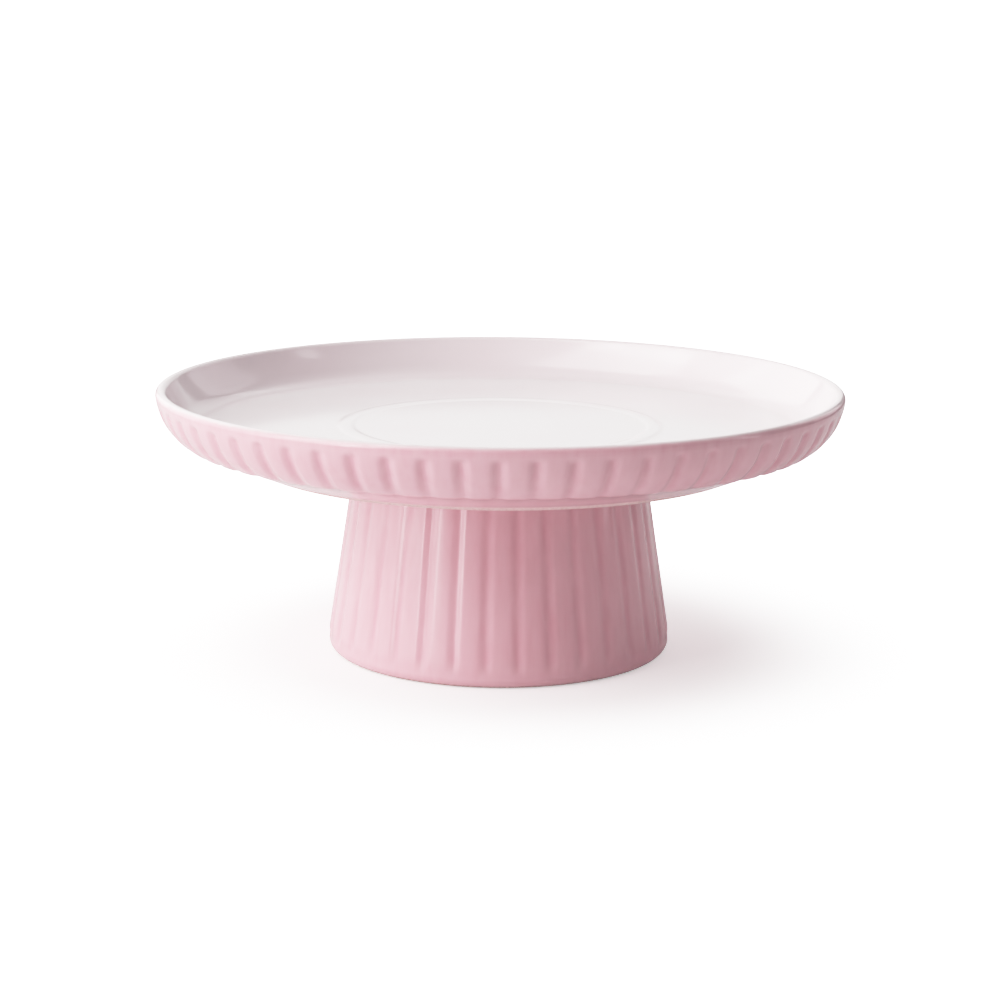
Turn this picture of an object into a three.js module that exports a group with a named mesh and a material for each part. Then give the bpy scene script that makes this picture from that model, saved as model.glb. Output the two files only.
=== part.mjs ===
// A two-piece cake stand: a fluted stoneware plate that rests on a hollow fluted pedestal.
// Millimetres, +Z up. The origin is the centre of the pedestal's foot, on the table.
import * as THREE from "three";

// The whole stand
const standHeight = 117; // from the table to the crest of the rim
const gap = 0.3; // clearance wherever two pieces touch

// Plate. Its heights are measured up from its own foot ring.
const plateRadius = 150;
const plateHeight = 33;
const plateFlutes = 64;
const plateTurn = -0.1; // degrees from a groove that faces straight forwards
const floorTop = 15.1; // the white surface that the cake stands on
const recess = 7.1; // height of the hollow under the plate
const footRing = { inner: 104.5, outer: 109.2, draft: 1.5 };
const collar = { inner: 64.5, outer: 69.5, draft: 0.3, clear: 1.4 }; // keeps the plate centred
const bowl = { r: 124.2, z: 32.7, radius: 24.5, from: -67.7, to: -9 }; // arc of the outer wall
const bowlFlutes = { from: -61, to: -15 }; // the stretch of that arc, in degrees, that is fluted
const lip = { r: 147.6, z: plateHeight - 2.4, radius: 2.4 };
const cove = { r: 129, radius: 12, steepest: 31 }; // where the floor turns up into the rim

// Pedestal
const pedestalFlutes = 34;
const pedestalTurn = -4.1;
const foot = { virtual: 77.2, inner: 68.5, fillet: 4 }; // virtual: where the wall would meet the table
const taper = 0.153; // how fast the wall closes in with height
const footBand = { top: 5, lobeStart: 8 };
const shoulder = { lobeEnd: 82, top: 85 }; // above it a smooth spigot enters the plate's collar
const land = { hole: 50, thickness: 5.5, edge: 1.5 }; // the level top that carries the plate
const innerTop = 58.2; // inside radius just under the land

// Seat ring
const seat = { outer: 61.2, thickness: 1.6, skirt: 1.8, drop: 5 };

// Flutes: lobes stand this far out from the grooves between them
const lobeHeight = 1.1;
const plateGroove = 4; // higher makes a narrower groove
const pedestalGroove = 3;

// Heights that follow from the sizes above
const plateZ = standHeight - plateHeight;
const landZ = plateZ + recess - seat.thickness - 2 * gap;
const seatZ = landZ + gap;

const point = (r, z) => new THREE.Vector2(r, z);
const radians = THREE.MathUtils.degToRad;

// A point on an arc about (r, z). Its angle is in degrees, 0 pointing outwards and 90 upwards.
function onArc(r, z, radius, angle) {
  return point(r + radius * Math.cos(radians(angle)), z + radius * Math.sin(radians(angle)));
}

// Evenly spaced points of an arc, with both its ends.
function arc(r, z, radius, from, to, steps) {
  const angleAt = (i) => THREE.MathUtils.lerp(from, to, i / steps);
  return Array.from({ length: steps + 1 }, (_, i) => onArc(r, z, radius, angleAt(i)));
}

// Turns an outline of (radius, height) points about +Z. Angle 0 faces -Y and angles grow towards +X.
function turned(outline, segments) {
  return new THREE.LatheGeometry(outline, segments).rotateX(Math.PI / 2);
}

// A fluted wall swings between two outlines, one through the lobes and one through the grooves.
function fluted(outlineAt, flutes, stepsPerFlute, narrowness) {
  const lobes = outlineAt(lobeHeight);
  const grooves = outlineAt(0);
  const segments = flutes * stepsPerFlute;
  const geometry = turned(lobes, segments);
  const position = geometry.attributes.position;
  for (let i = 0; i < position.count; i += 1) {
    const row = i % lobes.length;
    const step = Math.floor(i / lobes.length) % segments;
    const angle = (2 * Math.PI * step) / segments;
    const grooveShare = Math.abs(Math.cos((Math.PI * step) / stepsPerFlute)) ** narrowness;
    const at = lobes[row].clone().lerp(grooves[row], grooveShare);
    position.setXYZ(i, at.x * Math.sin(angle), -at.x * Math.cos(angle), at.y);
  }
  return geometry;
}

// The plate's outline, from the centre of its underside, out round the rim and back over the floor.
function plateOutline(lobe) {
  return [
    point(0, recess),
    point(collar.inner, recess),
    point(collar.inner + collar.draft, collar.clear),
    point(collar.outer - collar.draft, collar.clear),
    point(collar.outer, recess),
    point(footRing.inner - footRing.draft, recess),
    point(footRing.inner, 0),
    point(footRing.outer, 0),
    onArc(bowl.r, bowl.z, bowl.radius, bowl.from), // a smooth band, level with the grooves
    ...arc(bowl.r, bowl.z, bowl.radius + lobe, bowlFlutes.from, bowlFlutes.to, 4),
    onArc(bowl.r, bowl.z, bowl.radius + lobeHeight, bowl.to), // a smooth band, level with the lobes
    ...arc(lip.r, lip.z, lip.radius, 0, 180, 4),
    ...arc(cove.r, floorTop + cove.radius, cove.radius, -cove.steepest, -90, 3),
    point(0, floorTop),
  ];
}

// The pedestal's outline, from the inside of its foot, up the outside and back down the hollow.
function pedestalOutline(lobe) {
  const wallRadius = (z) => foot.virtual - lobeHeight - taper * z;
  const lean = THREE.MathUtils.radToDeg(Math.atan(taper));
  const filletR = wallRadius(0) - foot.fillet / Math.tan(radians((90 - lean) / 2));
  return [
    point(foot.inner, 0),
    ...arc(filletR, foot.fillet, foot.fillet, -90, lean, 3),
    point(wallRadius(footBand.top), footBand.top),
    point(wallRadius(footBand.lobeStart) + lobe, footBand.lobeStart),
    point(wallRadius(shoulder.lobeEnd) + lobe, shoulder.lobeEnd),
    point(wallRadius(shoulder.top), shoulder.top),
    point(wallRadius(landZ), landZ - land.edge),
    point(wallRadius(landZ) - land.edge, landZ),
    point(land.hole, landZ),
    point(land.hole, landZ - land.thickness),
    point(innerTop, landZ - land.thickness),
    point(foot.inner, 0),
  ];
}

// The silicone ring lies on the land, and its skirt drops into the hole to keep it centred.
function seatOutline() {
  const skirtOuter = land.hole - gap;
  const skirtInner = skirtOuter - seat.skirt;
  const top = seatZ + seat.thickness;
  return [
    point(skirtInner, seatZ - seat.drop),
    point(skirtOuter, seatZ - seat.drop),
    point(skirtOuter, seatZ),
    point(seat.outer, seatZ),
    point(seat.outer, top),
    point(skirtInner, top),
    point(skirtInner, seatZ - seat.drop),
  ];
}

function named(name, geometry, color, roughness) {
  const material = new THREE.MeshStandardMaterial({ color, roughness, metalness: 0 });
  const mesh = new THREE.Mesh(geometry, material);
  mesh.name = name;
  return mesh;
}

const plateShell = fluted(plateOutline, plateFlutes, 2, plateGroove);
const plate = named("cake_plate", plateShell, 0xe3c3ca, 0.2);
plate.position.z = plateZ;
plate.rotation.z = radians(plateTurn);

const pedestalWall = fluted(pedestalOutline, pedestalFlutes, 4, pedestalGroove);
const pedestal = named("pedestal", pedestalWall, 0xd0a0ac, 0.2);
pedestal.rotation.z = radians(pedestalTurn);

const seatRing = named("seat_ring", turned(seatOutline(), 64), 0xe8e6e2, 0.6);

const cakeStand = new THREE.Group();
cakeStand.add(pedestal, seatRing, plate);

export default cakeStand;
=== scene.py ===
# Fluted cake stand: a white-glazed plate that lifts off its pink pedestal.
import bpy
import bmesh
import math
from mathutils import Matrix, Vector


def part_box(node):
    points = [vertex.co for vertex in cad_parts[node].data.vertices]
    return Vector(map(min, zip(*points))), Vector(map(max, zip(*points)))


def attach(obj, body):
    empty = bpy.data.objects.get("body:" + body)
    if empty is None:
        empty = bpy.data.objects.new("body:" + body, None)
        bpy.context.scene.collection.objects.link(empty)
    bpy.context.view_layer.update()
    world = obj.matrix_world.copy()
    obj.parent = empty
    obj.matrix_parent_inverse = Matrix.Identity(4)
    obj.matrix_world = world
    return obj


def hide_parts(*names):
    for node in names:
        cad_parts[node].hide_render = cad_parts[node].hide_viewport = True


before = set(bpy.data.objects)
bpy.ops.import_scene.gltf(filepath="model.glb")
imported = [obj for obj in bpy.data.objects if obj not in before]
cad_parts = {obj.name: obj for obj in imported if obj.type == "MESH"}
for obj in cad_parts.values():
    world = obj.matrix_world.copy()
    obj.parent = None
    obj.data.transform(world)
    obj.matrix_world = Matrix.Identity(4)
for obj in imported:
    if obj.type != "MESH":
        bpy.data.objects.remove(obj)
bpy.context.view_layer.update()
print("frame loaded:", sorted(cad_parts))

# every length is in metres and every angle in degrees
mm = 0.001
mergeDistance = 0.002 * mm
onSurface = 0.02 * mm  # how near a vertex must be to count as on a wall
onEdge = 0.01  # the same, for an angle
blendIn = 3 * mm  # the crowns of the lobes rise over this length


def arcPoints(r, z, radius, fromAngle, toAngle, steps):
    # points on an arc about (r, z), 0 degrees outwards and 90 upwards
    found = []
    for i in range(steps + 1):
        angle = math.radians(fromAngle + (toAngle - fromAngle) * i / steps)
        found.append((r + radius * math.cos(angle), z + radius * math.sin(angle)))
    return found


def smooth(a, b, x):
    t = min(max((x - a) / (b - a), 0.0), 1.0)
    return t * t * (3 - 2 * t)


def outlineMesh(points, closed, longestAt):
    # a chain of edges in the plane that faces the front, cut so that none is longer than allowed there
    bm = bmesh.new()
    verts = [bm.verts.new((0, -r, z)) for r, z in points]
    for a, b in zip(verts, verts[1:]):
        bm.edges.new((a, b))
    if closed:
        bm.edges.new((verts[-1], verts[0]))
    for edge in list(bm.edges):
        middle = (edge.verts[0].co + edge.verts[1].co) / 2
        cuts = math.ceil(edge.calc_length() / longestAt(-middle.y, middle.z)) - 1
        if cuts > 0:
            bmesh.ops.subdivide_edges(bm, edges=[edge], cuts=cuts)
    return bm


def spinSector(bm, count, steps):
    # sweeps the outline through one of count equal sectors
    geometry = bm.verts[:] + bm.edges[:]
    bmesh.ops.spin(
        bm, geom=geometry, cent=(0, 0, 0), axis=(0, 0, 1), dvec=(0, 0, 0),
        angle=math.tau / count, steps=steps, use_merge=False, use_duplicate=False,
    )


def copyRound(bm, count, turn):
    # copies that sector round the axis, joins the copies and closes the poles
    geometry = bm.verts[:] + bm.edges[:] + bm.faces[:]
    bmesh.ops.spin(
        bm, geom=geometry, cent=(0, 0, 0), axis=(0, 0, 1), dvec=(0, 0, 0),
        angle=math.tau * (count - 1) / count, steps=count - 1, use_merge=False, use_duplicate=True,
    )
    bmesh.ops.remove_doubles(bm, verts=bm.verts, dist=mergeDistance)
    bmesh.ops.rotate(bm, verts=bm.verts, cent=(0, 0, 0), matrix=Matrix.Rotation(math.radians(turn), 3, "Z"))
    bmesh.ops.recalc_face_normals(bm, faces=bm.faces)


def insideLobe(across, along, halfWidth, corner):
    # how far a point lies inside a lobe, which ends in rounded corners
    qx = abs(across) - (halfWidth - corner)
    qy = corner - along
    outside = math.hypot(max(qx, 0.0), max(qy, 0.0))
    return corner - outside - min(max(qx, qy), 0.0)


def raiseLobes(bm, shape, place):
    # place tells where a vertex lies on the fluted wall, or gives None
    grooveShade = bm.verts.layers.float.new("grooveShade")
    for vert in bm.verts:
        r = math.hypot(vert.co.x, vert.co.y)
        spot = place(r, vert.co.z)
        if spot is None:
            continue
        along, topRamp, outR, outZ = spot
        azimuth = math.atan2(vert.co.x, -vert.co.y)
        pitch = math.tau * r / shape["flutes"]
        across = azimuth * r - pitch / 2
        depth = insideLobe(across, along, pitch / 2, shape["lobeCorner"])
        crown = math.sin(math.pi / 2 * min(depth / (pitch / 2), 1.0))
        raised = smooth(0.0, shape["wallWidth"], depth) * (1 - shape["crown"]) + crown * shape["crown"]
        lift = 1 - (1 - raised) * (1 - topRamp)
        # near an end the grooves grow shallow, and the crowns keep their line
        share = shape["endDepth"] + (1 - shape["endDepth"]) * smooth(0.0, shape["swell"], along)
        fullness = (1 - share) * smooth(0.0, blendIn, along)
        push = shape["lobeHeight"] * (lift * share + fullness)
        # painted shade: each groove is marked here to be painted deeper pink, less so near its ends
        vert[grooveShade] = (1 - lift) * smooth(0.0, 2 * shape["lobeCorner"], along)
        scale = (r + push * outR) / r
        vert.co.x *= scale
        vert.co.y *= scale
        vert.co.z += push * outZ


def finishPiece(bm, name, material, body, node):
    mesh = bpy.data.meshes.new(name)
    bm.to_mesh(mesh)
    bm.free()
    mesh.shade_smooth()
    piece = bpy.data.objects.new(name, mesh)
    bpy.context.scene.collection.objects.link(piece)
    piece.data.materials.append(material)
    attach(piece, body)
    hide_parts(node)
    print("built", name, len(mesh.polygons), "faces")


class Wire:
    # an output socket that can be used in sums
    def __init__(self, finish, socket):
        self.finish = finish
        self.socket = socket

    def math(self, operation, *values):
        return self.finish.add("Math", {"operation": operation}, dict(enumerate(values)))

    def __add__(self, other):
        return self.math("ADD", self, other)

    def __radd__(self, other):
        return self.math("ADD", other, self)

    def __sub__(self, other):
        return self.math("SUBTRACT", self, other)

    def __rsub__(self, other):
        return self.math("SUBTRACT", other, self)

    def __mul__(self, other):
        return self.math("MULTIPLY", self, other)

    def __rmul__(self, other):
        return self.math("MULTIPLY", other, self)

    def __pow__(self, other):
        return self.math("POWER", self, other)

    def atLeast(self, other):
        return self.math("MAXIMUM", self, other)

    def ramp(self, start, end):
        # eases from 0 to 1 while this value goes from start to end
        settings = {"interpolation_type": "SMOOTHSTEP"}
        inputs = {"Value": self, "From Min": start, "From Max": end, "To Min": 0.0, "To Max": 1.0}
        return self.finish.add("MapRange", settings, inputs)


class Finish:
    # one material and its node tree
    def __init__(self, name):
        self.material = bpy.data.materials.new(name)
        self.material.use_nodes = True
        self.tree = self.material.node_tree
        self.tree.nodes.clear()

    def add(self, kind, settings=None, inputs=None, output=0):
        node = self.tree.nodes.new("ShaderNode" + kind)
        for name, value in (settings or {}).items():
            setattr(node, name, value)
        for name, value in (inputs or {}).items():
            if isinstance(value, Wire):
                self.tree.links.new(value.socket, node.inputs[name])
            else:
                node.inputs[name].default_value = value
        return Wire(self, node.outputs[output]) if node.outputs else node

    def place(self):
        return self.add("TexCoord", output="Object")

    def axis(self, vector, name):
        return self.add("SeparateXYZ", None, {"Vector": vector}, name)

    def noise(self, vector, size, detail=2.0):
        # size is the width of a patch, in metres
        inputs = {"Vector": vector, "Scale": 1 / size, "Detail": detail}
        return self.add("TexNoise", None, inputs, "Fac")

    def wobble(self, vector, size, width):
        # shifts an edge to and fro by up to half of width
        return (self.noise(vector, size) - 0.5) * width

    def blend(self, share, first, second):
        # the two numbers are the Mix node's own colour sockets
        return self.add("Mix", {"data_type": "RGBA"}, {"Factor": share, 6: first, 7: second}, 2)

    def stretched(self, vector, scale):
        return self.add("Mapping", None, {"Vector": vector, "Scale": scale})

    def attribute(self, name):
        return self.add("Attribute", {"attribute_name": name}, None, "Fac")

    def bump(self, height, distance):
        return self.add("Bump", None, {"Height": height, "Distance": distance, "Strength": 1.0})

    def surface(self, inputs):
        shader = self.add("BsdfPrincipled", None, inputs)
        self.add("OutputMaterial", None, {"Surface": shader})
        return self.material


def tone(red, green, blue):
    # a colour as a picker shows it, made linear
    def linear(value):
        value /= 255
        return value / 12.92 if value < 0.04045 else ((value + 0.055) / 1.055) ** 2.4
    return (linear(red), linear(green), linear(blue), 1.0)


colours = {
    "pink": tone(222, 172, 182),
    "pinkDeep": tone(207, 143, 157),
    "pinkPale": tone(238, 216, 220),
    "white": tone(244, 237, 239),
    "whiteWarm": tone(241, 230, 233),
    # painted shade: the pinker white of the inner wall, standing for its shade
    "whiteShadeTint": tone(238, 220, 225),
    "clay": tone(222, 194, 194),
    "clayDark": tone(204, 168, 168),
    # painted shadow: bare clay darkened for the contact shadow round the pedestal's foot
    "clayShadowed": tone(147, 118, 113),
    "silicone": tone(232, 230, 226),
    "siliconeDusty": tone(214, 210, 204),
}

glaze = {
    "clouds": 34 * mm,
    "streaks": 3.2 * mm,
    "streakStretch": (1, 1, 0.12),  # a small last number draws the streaks out upwards
    "depth": 0.18,  # 0 is plain pink and 1 is the deep pink
    "cloudDepth": 0.5,
    "streakDepth": 0.6,
    # how much deeper pink the painted groove shade and the pool under the lip make it
    "grooveShadeAndPoolDepth": 0.3,
    "ior": 1.62,
    "roughness": 0.48,
    "roughPatches": 22 * mm,
    "unevenness": 0.1,
    "gloss": 0.85,
    "glossIor": 1.45,
    "glossRoughness": 0.12,
    "relief": 0.12 * mm,
    "ripples": 9 * mm,
    "rippleDepth": 0.35,
    "pits": 2.2 * mm,
    "pitDepth": 0.12,
}

clay = {
    "speckles": 1.2 * mm,
    "speckleEdge": (0.3, 0.8),
    "grain": 0.8 * mm,
    "roughness": 0.35,  # more than the glaze
}


def pinkGlaze(finish, where, grooveShadeAndLipPool):
    # cloudy and streaked, deeper where the glaze pools under the plate's lip, and painted deeper in the
    # grooves as shade
    clouds = finish.noise(where, glaze["clouds"], 3.0) - 0.5
    drawn = finish.stretched(where, glaze["streakStretch"])
    streaks = finish.noise(drawn, glaze["streaks"], 3.0) - 0.5
    depth = grooveShadeAndLipPool * glaze["grooveShadeAndPoolDepth"] + clouds * glaze["cloudDepth"] + streaks * glaze["streakDepth"]
    return finish.blend((depth + glaze["depth"]).ramp(0.0, 1.0), colours["pink"], colours["pinkDeep"])


def clayBody(finish, where, light, dark):
    speckles = finish.noise(where, clay["speckles"], 4.0)
    return finish.blend(speckles.ramp(*clay["speckleEdge"]), colours[light], colours[dark])


def glazed(finish, where, colour, bare):
    # a soft milky sheen with a thin clear gloss over it, and no gloss on bare clay
    unevenness = finish.noise(where, glaze["roughPatches"]) * glaze["unevenness"]
    pits = finish.noise(where, glaze["pits"]) * glaze["pitDepth"]
    ripples = finish.noise(where, glaze["ripples"]) + pits
    grain = finish.noise(where, clay["grain"], 3.0)
    height = ripples * (1 - bare) * glaze["rippleDepth"] + grain * bare
    return finish.surface({
        "Base Color": colour,
        "Roughness": glaze["roughness"] + unevenness + bare * clay["roughness"],
        "IOR": glaze["ior"],
        "Coat Weight": (1 - bare) * glaze["gloss"],
        "Coat Roughness": glaze["glossRoughness"],
        "Coat IOR": glaze["glossIor"],
        "Normal": finish.bump(height, glaze["relief"]),
    })


# heights are measured up from the plate's own foot ring, and an edge between two finishes is given as
# where it starts and where it ends
plate = {
    "flutes": 64,
    "stepsPerFlute": 14,
    "turn": -0.1,
    "lobeHeight": 1.35 * mm,
    "wallWidth": 4.0 * mm,  # from the middle of a groove to the crown of a lobe
    "lobeCorner": 4.0 * mm,
    "crown": 0.12,  # share of the height that keeps rising over the lobe
    "swell": 15 * mm,  # a groove reaches its full depth this far from its end
    "endDepth": 0.35,  # share of that depth at the end
    "floorTop": 15.1 * mm,
    "recess": 7.1 * mm,
    "recessFillet": 3.0 * mm,
    "footInner": 104.5 * mm,
    "footInnerRound": 0.8 * mm,
    "footDraft": 1.0 * mm,
    "footOuter": 109.2 * mm,
    "footOuterRound": 1.2 * mm,
    "footOuterInset": 0.4 * mm,  # how far inside footOuter that round has its centre
    "collarInner": 64.5 * mm,
    "collarOuter": 69.5 * mm,
    "collarClear": 1.4 * mm,
    "collarRound": 1.0 * mm,
    "collarDraft": 0.2 * mm,
    "collarFlare": 1.5 * mm,
    "collarFillet": 2.4 * mm,
    "bowlR": 124.2 * mm,
    "bowlZ": 32.7 * mm,
    "bowlRadius": 24.5 * mm,
    "bowlFrom": -67.7,
    "bowlTo": -9.0,
    "fluteTo": -15.0,
    "bandFrom": -7.0,  # a smooth band between the lobes and the lip
    "bandTo": -5.0,
    "lipR": 147.58 * mm,
    "lipRadius": 2.4 * mm,
    "coveR": 129.0 * mm,
    "coveRadius": 12.0 * mm,
    "coveSteepest": 31.0,
    "printHeight": 0.4 * mm,  # the collar shows through the floor as a faint ring
    "printEdge": 1.4 * mm,
    "printOver": 1.0 * mm,  # the ring is this much wider than the collar
    "supportEdge": 2.5 * mm,
    "longestEdge": 22 * mm,
    "outsideEdge": (-0.4 * mm, 0.4 * mm),  # outwards from the crest of the wall's curve
    "onLipEdge": (-0.2 * mm, 0.5 * mm),  # up from the middle of the lip
    "overLipEdge": (0.5 * mm, 1.5 * mm),  # outwards from the middle of the lip
    "thinWhiteEdge": (1.1 * mm, 2.2 * mm),
    "poolStart": (-2.2 * mm, -0.6 * mm),  # the pink pools just under the lip
    "poolEnd": (1.6 * mm, 0.2 * mm),
    "lipPool": 0.5,
    # painted shade: from here outwards the inner white is tinted pinker
    "wallShadeEdge": (-6 * mm, 8 * mm),  # outwards from the start of the cove
    "wallShadeStrength": 0.7,
    "clayEdge": (3.3 * mm, 1.8 * mm),  # down to the foot
    "outsideWobble": (16 * mm, 1.2 * mm),  # length and width of the waves in the edge
    "lipWobble": (7 * mm, 0.6 * mm),
    "clayWobble": (14 * mm, 0.4 * mm),
    "haze": 60 * mm,
    "hazeEdge": (0.3, 0.75),
}


def softStep(r, z, height, rising):
    # a soft step in the floor, walked inwards
    spots = range(-2, 3)
    heights = [smooth(-1, 1, k / 2) * height for k in spots]
    if not rising:
        heights.reverse()
    return [(r - plate["printEdge"] * k / 2, z + rise) for k, rise in zip(spots, heights)]


def plateOutline(base, bowlZ, lipZ):
    # from the centre of the underside, out round the rim and back over the floor
    ceiling = base + plate["recess"]
    floorZ = base + plate["floorTop"]
    collarEnd = base + plate["collarClear"] + plate["collarRound"]
    collarEdge = plate["collarRound"] + plate["collarDraft"]
    lobed = plate["bowlRadius"] + plate["lobeHeight"]
    printOuter = plate["collarOuter"] + plate["printOver"]
    printInner = plate["collarInner"]
    return [
        (0, ceiling),
        (plate["collarInner"] - plate["collarFlare"], ceiling),
        *arcPoints(plate["collarInner"] + collarEdge, collarEnd, plate["collarRound"], 180, 270, 4),
        *arcPoints(plate["collarOuter"] - collarEdge, collarEnd, plate["collarRound"], -90, 0, 4),
        *arcPoints(plate["collarOuter"] + plate["collarFillet"], ceiling - plate["collarFillet"],
                   plate["collarFillet"], 180, 90, 5),
        *arcPoints(plate["footInner"] - plate["footDraft"] - plate["recessFillet"],
                   ceiling - plate["recessFillet"], plate["recessFillet"], 90, 20, 5),
        *arcPoints(plate["footInner"] + plate["footInnerRound"], base + plate["footInnerRound"],
                   plate["footInnerRound"], 190, 270, 4),
        *arcPoints(plate["footOuter"] - plate["footOuterInset"], base + plate["footOuterRound"],
                   plate["footOuterRound"], -90, plate["bowlFrom"], 2),
        *arcPoints(plate["bowlR"], bowlZ, plate["bowlRadius"], plate["bowlFrom"], plate["bowlTo"], 26),
        *arcPoints(plate["bowlR"], bowlZ, lobed, plate["bandFrom"], plate["bandTo"], 2),
        *arcPoints(plate["lipR"], lipZ, plate["lipRadius"], 0, 180, 10),
        *arcPoints(plate["coveR"], floorZ + plate["coveRadius"], plate["coveRadius"],
                   -plate["coveSteepest"], -90, 10),
        (plate["coveR"] - plate["supportEdge"], floorZ),
        (printOuter + plate["supportEdge"], floorZ),
        *softStep(printOuter, floorZ, plate["printHeight"], True),
        *softStep(printInner, floorZ, plate["printHeight"], False),
        (printInner - plate["supportEdge"], floorZ),
        (0, floorZ),
    ]


def plateGlaze():
    finish = Finish("plateGlaze")
    where = finish.place()
    x, y, z = (finish.axis(where, name) for name in ("X", "Y", "Z"))
    low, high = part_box("cake_plate")
    radius = (x * x + y * y) ** 0.5
    # distance from the middle of the wall's curve tells the outside from the inside
    across = (radius - plate["bowlR"]).atLeast(0.0)
    drop = z - (low.z + plate["bowlZ"])
    crest = plate["lipR"] - plate["bowlR"]
    reach = (across * across + drop * drop) ** 0.5 - crest
    outside = (reach + finish.wobble(where, *plate["outsideWobble"])).ramp(*plate["outsideEdge"])
    # the white runs over the top of the lip and thins out on its outer curve
    lipRise = z - (high.z - plate["lipRadius"])
    onLip = lipRise.ramp(*plate["onLipEdge"])
    lipReach = radius - plate["lipR"] + finish.wobble(where, *plate["lipWobble"])
    pinkShare = outside * (1 - onLip * (1 - lipReach.ramp(*plate["overLipEdge"])))
    thin = 1 - onLip * (1 - lipReach.ramp(*plate["thinWhiteEdge"]))
    underLip = lipRise.ramp(*plate["poolStart"]) * lipRise.ramp(*plate["poolEnd"])
    # painted shade in the grooves, plus the pink that really pools under the lip
    grooveShadeAndLipPool = finish.attribute("grooveShade") + underLip * plate["lipPool"]
    pink = finish.blend(thin, colours["pinkPale"], pinkGlaze(finish, where, grooveShadeAndLipPool))
    haze = finish.noise(where, plate["haze"]).ramp(*plate["hazeEdge"])
    white = finish.blend(haze, colours["white"], colours["whiteWarm"])
    # painted shade: from the cove outwards the white is tinted pinker, as the white looks in shade
    wallShade = (radius - plate["coveR"]).ramp(*plate["wallShadeEdge"])
    white = finish.blend(wallShade * plate["wallShadeStrength"], white, colours["whiteShadeTint"])
    footLine = z - low.z + finish.wobble(where, *plate["clayWobble"])
    bare = footLine.ramp(*plate["clayEdge"])
    colour = finish.blend(pinkShare, white, pink)
    colour = finish.blend(bare, colour, clayBody(finish, where, "clay", "clayDark"))
    return glazed(finish, where, colour, bare)


def buildPlate(material):
    low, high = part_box("cake_plate")
    bowlZ = low.z + plate["bowlZ"]
    outline = plateOutline(low.z, bowlZ, high.z - plate["lipRadius"])
    bm = outlineMesh(outline, False, lambda r, z: plate["longestEdge"])
    spinSector(bm, plate["flutes"], plate["stepsPerFlute"])

    def place(r, z):
        dr, dz = r - plate["bowlR"], z - bowlZ
        reach = math.hypot(dr, dz)
        angle = math.degrees(math.atan2(dz, dr))
        onWall = abs(reach - plate["bowlRadius"]) < onSurface
        if not onWall or angle < plate["bowlFrom"] or angle > plate["bowlTo"] + onEdge:
            return None
        along = math.radians(angle - plate["bowlFrom"]) * plate["bowlRadius"]
        topRamp = smooth(plate["fluteTo"], plate["bowlTo"], angle)
        return along, topRamp, dr / reach, dz / reach

    raiseLobes(bm, plate, place)
    copyRound(bm, plate["flutes"], plate["turn"])
    finishPiece(bm, "flutedPlate", material, "plate", "cake_plate")


pedestal = {
    "flutes": 34,
    "stepsPerFlute": 20,
    "turn": -4.1,
    "lobeHeight": 0.68 * mm,
    "wallWidth": 3.6 * mm,
    "lobeCorner": 3.6 * mm,
    "crown": 0.2,
    "swell": 3 * mm,
    "endDepth": 0.35,
    "footR": 76.1 * mm,  # outside of the grooves, carried down to the table
    "taper": 0.153,
    "footInner": 68.5 * mm,
    "footInnerRound": 1.0 * mm,
    "footFillet": 4.0 * mm,
    "lobesFrom": 5.5 * mm,
    "lobesTo": 84.0 * mm,
    "landHole": 50.0 * mm,
    "landThickness": 5.5 * mm,
    "landRound": 1.5 * mm,
    "landInset": 1.8 * mm,  # how far inside the wall that round has its centre
    "wallEnd": 2.0 * mm,  # below the top
    "holeRound": 1.2 * mm,
    "innerTop": 58.2 * mm,
    "innerFillet": 4.0 * mm,
    "rowHeight": 1.8 * mm,
    "longestEdge": 12 * mm,
    "wallMiddle": 4.5 * mm,  # inwards from the outside of the grooves
    "outsideEdge": (-1 * mm, 1 * mm),  # outwards from that middle
    # this bare band at the foot also carries a painted contact shadow
    "clayEdge": (1.4 * mm, 0.9 * mm),  # down to the foot
    "outsideWobble": (12 * mm, 2 * mm),
    "clayWobble": (9 * mm, 0.4 * mm),
}


def pedestalRadius(z):
    return pedestal["footR"] - pedestal["taper"] * z


def pedestalOutline(top, lean):
    # from the inside of the foot, up the outside and back down the hollow
    under = top - pedestal["landThickness"]
    fillet = pedestal["footFillet"]
    filletR = pedestalRadius(0) - fillet / math.tan((math.pi / 2 - lean) / 2)
    wallTop = top - pedestal["wallEnd"]
    edge = pedestal["landRound"]
    hole = pedestal["landHole"] + pedestal["holeRound"]
    inner = pedestal["innerFillet"]
    return [
        *arcPoints(pedestal["footInner"] + pedestal["footInnerRound"], pedestal["footInnerRound"],
                   pedestal["footInnerRound"], 188, 270, 4),
        *arcPoints(filletR, fillet, fillet, -90, math.degrees(lean), 8),
        (pedestalRadius(wallTop), wallTop),
        *arcPoints(pedestalRadius(top) - pedestal["landInset"], top - edge, edge, 10, 90, 5),
        *arcPoints(hole, top - pedestal["holeRound"], pedestal["holeRound"], 90, 180, 4),
        *arcPoints(hole, under + pedestal["holeRound"], pedestal["holeRound"], 180, 270, 4),
        *arcPoints(pedestal["innerTop"] - inner, under - inner, inner, 90, 8, 6),
    ]


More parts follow.
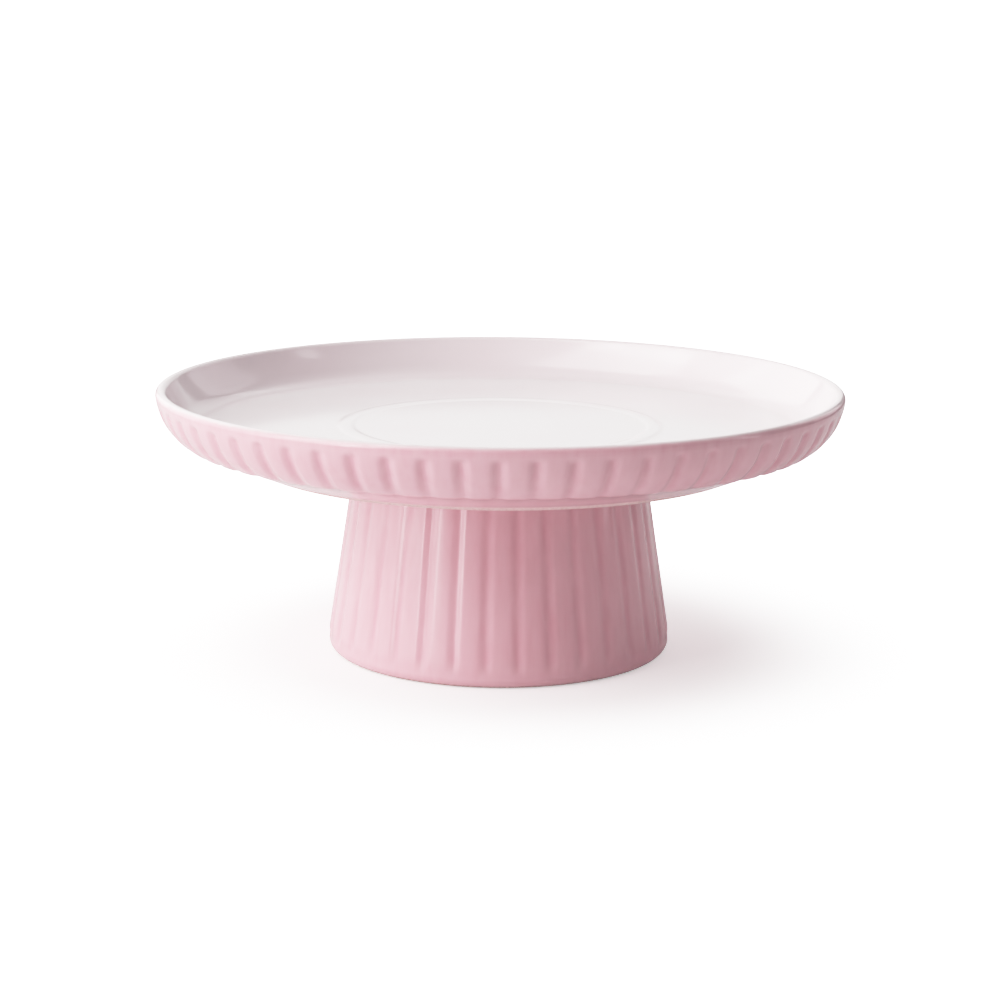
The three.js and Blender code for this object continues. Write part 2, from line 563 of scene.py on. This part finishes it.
def pedestalGlaze():
    finish = Finish("pedestalGlaze")
    where = finish.place()
    x, y, z = (finish.axis(where, name) for name in ("X", "Y", "Z"))
    radius = (x * x + y * y) ** 0.5
    # painted shade: the grooves are painted deeper pink
    pink = pinkGlaze(finish, where, finish.attribute("grooveShade"))
    # the hollow is glazed white, and the pink stops just inside the foot and the top
    wallMiddle = pedestal["footR"] - pedestal["wallMiddle"] - z * pedestal["taper"]
    reach = radius - wallMiddle + finish.wobble(where, *pedestal["outsideWobble"])
    outside = reach.ramp(*pedestal["outsideEdge"])
    footLine = z + finish.wobble(where, *pedestal["clayWobble"])
    bare = footLine.ramp(*pedestal["clayEdge"])
    colour = finish.blend(outside, colours["white"], pink)
    # painted shadow: the bare clay band at the foot takes darker clay colours as its contact shadow
    colour = finish.blend(bare, colour, clayBody(finish, where, "clayDark", "clayShadowed"))
    return glazed(finish, where, colour, bare)


def buildPedestal(material):
    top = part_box("pedestal")[1].z
    lean = math.atan(pedestal["taper"])

    def onWall(r, z):
        return abs(r - pedestalRadius(z)) < onSurface

    def longestAt(r, z):
        return pedestal["rowHeight"] if onWall(r, z) else pedestal["longestEdge"]

    def place(r, z):
        if not onWall(r, z) or z < pedestal["lobesFrom"] or z > pedestal["lobesTo"]:
            return None
        along = min(z - pedestal["lobesFrom"], pedestal["lobesTo"] - z)
        return along, 0.0, math.cos(lean), math.sin(lean)

    bm = outlineMesh(pedestalOutline(top, lean), True, longestAt)
    spinSector(bm, pedestal["flutes"], pedestal["stepsPerFlute"])
    raiseLobes(bm, pedestal, place)
    copyRound(bm, pedestal["flutes"], pedestal["turn"])
    finishPiece(bm, "flutedPedestal", material, "pedestal", "pedestal")


seat = {
    "inner": 47.9 * mm,
    "skirt": 49.7 * mm,
    "outer": 61.2 * mm,
    "thickness": 1.6 * mm,
    "edge": 0.5 * mm,
    "sectors": 24,
    "stepsPerSector": 8,
    "longestEdge": 2.5 * mm,
    "dust": 3 * mm,
    "dustEdge": (0.3, 0.8),
    "roughness": 0.45,
    "dustRoughness": 0.15,
    "dustRelief": 0.05 * mm,
}


def seatSilicone():
    finish = Finish("seatSilicone")
    dust = finish.noise(finish.place(), seat["dust"], 3.0)
    dusty = dust.ramp(*seat["dustEdge"])
    return finish.surface({
        "Base Color": finish.blend(dusty, colours["silicone"], colours["siliconeDusty"]),
        "Roughness": seat["roughness"] + dust * seat["dustRoughness"],
        "Normal": finish.bump(dust, seat["dustRelief"]),
    })


def buildSeat(material):
    low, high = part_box("seat_ring")
    edge = seat["edge"]
    top, shelf = high.z, high.z - seat["thickness"]
    outline = [
        *arcPoints(seat["inner"] + edge, low.z + edge, edge, 180, 270, 3),
        *arcPoints(seat["skirt"] - edge, low.z + edge, edge, -90, 0, 3),
        *arcPoints(seat["outer"] - edge, shelf + edge, edge, -90, 0, 3),
        *arcPoints(seat["outer"] - edge, top - edge, edge, 0, 90, 3),
        *arcPoints(seat["inner"] + edge, top - edge, edge, 90, 180, 3),
    ]
    bm = outlineMesh(outline, True, lambda r, z: seat["longestEdge"])
    spinSector(bm, seat["sectors"], seat["stepsPerSector"])
    copyRound(bm, seat["sectors"], 0)
    finishPiece(bm, "siliconeSeat", material, "seat", "seat_ring")


buildPlate(plateGlaze())
buildPedestal(pedestalGlaze())
buildSeat(seatSilicone())


camera = {
    "place": (0.0002, -1.05, 0.288),
    "pitch": 11.98,  # degrees below level
    "roll": 0.46,
    "lens": 87.33,
    "sensor": 36.0,
    "clipEnd": 60.0,
}


def addCamera():
    data = bpy.data.cameras.new("studioCamera")
    data.lens = camera["lens"]
    data.sensor_width = camera["sensor"]
    data.clip_end = camera["clipEnd"]
    view = bpy.data.objects.new("studioCamera", data)
    tilt = Matrix.Rotation(math.radians(90 - camera["pitch"]), 4, "X")
    roll = Matrix.Rotation(math.radians(camera["roll"]), 4, "Z")
    view.matrix_world = Matrix.Translation(camera["place"]) @ tilt @ roll
    bpy.context.scene.collection.objects.link(view)
    bpy.context.scene.camera = view


lighting = {
    "target": (0, 0, 0.09),
    "distance": 1.6,
    "keyTint": (1.0, 0.99, 0.975),  # colour of the lights on the left and behind
    "shadeTint": (1.0, 0.92, 0.935),  # and of those on the right, which fill the shade
    "shoulder": 0.45,  # light up to here stays as it is, and more is held back softly
    "whitePoint": 2.6,
}

# softboxes: degrees left of the front, degrees up, width, height, watts
softboxes = {
    "keyLow": (60, 20, 1.2, 1.2, 15.0),
    "keyStrip": (48, 14, 0.12, 1.1, 3.4),
    "keyHigh": (60, 50, 1.2, 1.2, 18.5),
    "keySide": (95, 15, 1.4, 1.4, 9.9),
    "keyBack": (135, 20, 1.2, 1.2, 11.0),
    "fillFront": (-50, 30, 1.0, 1.0, 0.9),
    "stripRight": (-84, 17, 0.2, 1.0, 2.7),
    "edgeRight": (-135, 20, 0.8, 0.8, 2.9),
    "backLow": (180, 20, 1.2, 1.2, 5.4),
    "backHigh": (180, 55, 1.2, 1.2, 3.9),
}


def addSoftbox(name, left, up, width, height, watts):
    azimuth, rise = math.radians(left), math.radians(up)
    level = math.cos(rise)
    away = Vector((-math.sin(azimuth) * level, -math.cos(azimuth) * level, math.sin(rise)))
    data = bpy.data.lights.new(name, "AREA")
    data.shape = "RECTANGLE"
    data.size, data.size_y = width, height
    data.energy = watts
    data.color = lighting["shadeTint"] if left < 0 else lighting["keyTint"]
    light = bpy.data.objects.new(name, data)
    light.location = Vector(lighting["target"]) + away * lighting["distance"]
    light.rotation_euler = (-away).to_track_quat("-Z", "Y").to_euler()
    bpy.context.scene.collection.objects.link(light)


def softenHighlights():
    # a film-like shoulder, so lit glaze pales towards white instead of clipping
    view = bpy.context.scene.view_settings
    view.view_transform = "Standard"
    view.use_curve_mapping = True
    mapping = view.curve_mapping
    knee, white = lighting["shoulder"], lighting["whitePoint"]
    mapping.white_level = (white, white, white)
    curve = mapping.curves[3]
    headroom = 1 - knee
    reach = 1 - math.exp(-(white - knee) / headroom)
    curve.points[0].location = (0, 0)
    curve.points[1].location = (1, 1)
    for light in (0.15, 0.3, knee, 0.6, 0.8, 1.0, 1.25, 1.55, 1.95):
        held = light
        if light > knee:
            held = knee + headroom * (1 - math.exp(-(light - knee) / headroom)) / reach
        curve.points.new(light / white, held)
    mapping.update()


floor = {
    "size": 30.0,
    "shade": 249,
    # painted reflection: the floor as mirrored in the glaze is darker than the floor as seen
    "mirroredShade": 224,
    "cloudiness": 3,  # how much darker the clouds are than that shade
    "clouds": 0.6,
    "roughness": 0.9,
    "bounce": 0.07,
    "glow": (0.45, 3.0),  # near the stand and far from it
    "glowSpread": (0.09, 0.24),
}


def grey(value):
    return (value, value, value, 1)


def floorSheet(name, depth, shade, glowing=False):
    finish = Finish(name)
    where = finish.place()
    dark = shade - floor["cloudiness"]
    clouds = finish.noise(where, floor["clouds"])
    inputs = {
        "Base Color": finish.blend(clouds, tone(shade, shade, shade), tone(dark, dark, dark + 1)),
        "Roughness": floor["roughness"],
        "Specular IOR Level": 0.0,
        "Emission Color": grey(1),
        "Emission Strength": floor["bounce"],
    }
    if glowing:
        x, y = finish.axis(where, "X"), finish.axis(where, "Y")
        near, far = floor["glow"]
        farness = ((x * x + y * y) ** 0.5).ramp(*floor["glowSpread"])
        inputs["Emission Color"] = finish.blend(farness, grey(near), grey(far))
        inputs["Emission Strength"] = 1.0
    bm = bmesh.new()
    bmesh.ops.create_grid(bm, x_segments=1, y_segments=1, size=floor["size"])
    mesh = bpy.data.meshes.new(name)
    bm.to_mesh(mesh)
    bm.free()
    mesh.materials.append(finish.surface(inputs))
    sheet = bpy.data.objects.new(name, mesh)
    sheet.location.z = -depth
    bpy.context.scene.collection.objects.link(sheet)
    return sheet


def addFloor():
    # one sheet is only seen, one only lights the stand from below, and one is only mirrored in its glaze
    seen = floorSheet("glowingSheet", 0.05 * mm, floor["shade"], glowing=True)
    seen.visible_diffuse = False
    seen.visible_glossy = False
    seen.visible_shadow = False
    bounce = floorSheet("plainSheet", 0.5 * mm, floor["shade"])
    bounce.visible_camera = False
    bounce.visible_glossy = False
    # painted reflection: this sheet is darker than the seen floor, so the glaze mirrors a dimmer floor than
    # there is
    mirrored = floorSheet("mirroredSheet", 0.3 * mm, floor["mirroredShade"])
    mirrored.visible_camera = False
    mirrored.visible_diffuse = False
    mirrored.visible_shadow = False


# how bright the room is as a backdrop, as a reflection in the glaze and as light
room = {"backdrop": 3.0, "mirrored": 0.3, "ambient": 0.05}


def addWorld():
    world = bpy.data.worlds.new("studioWorld")
    bpy.context.scene.world = world
    world.use_nodes = True
    nodes, links = world.node_tree.nodes, world.node_tree.links
    nodes.clear()
    path = nodes.new("ShaderNodeLightPath")

    def walls(strength):
        node = nodes.new("ShaderNodeBackground")
        node.inputs["Color"].default_value = grey(1)
        node.inputs["Strength"].default_value = strength
        return node.outputs["Background"]

    def choose(ray, otherwise, chosen):
        node = nodes.new("ShaderNodeMixShader")
        links.new(path.outputs[ray], node.inputs["Fac"])
        links.new(otherwise, node.inputs[1])
        links.new(chosen, node.inputs[2])
        return node.outputs["Shader"]

    unseen = choose("Is Glossy Ray", walls(room["ambient"]), walls(room["mirrored"]))
    shown = choose("Is Camera Ray", unseen, walls(room["backdrop"]))
    out = nodes.new("ShaderNodeOutputWorld")
    links.new(shown, out.inputs["Surface"])


addCamera()
addFloor()
addWorld()
for name, shape in softboxes.items():
    addSoftbox(name, *shape)
softenHighlights()
print("studio ready")
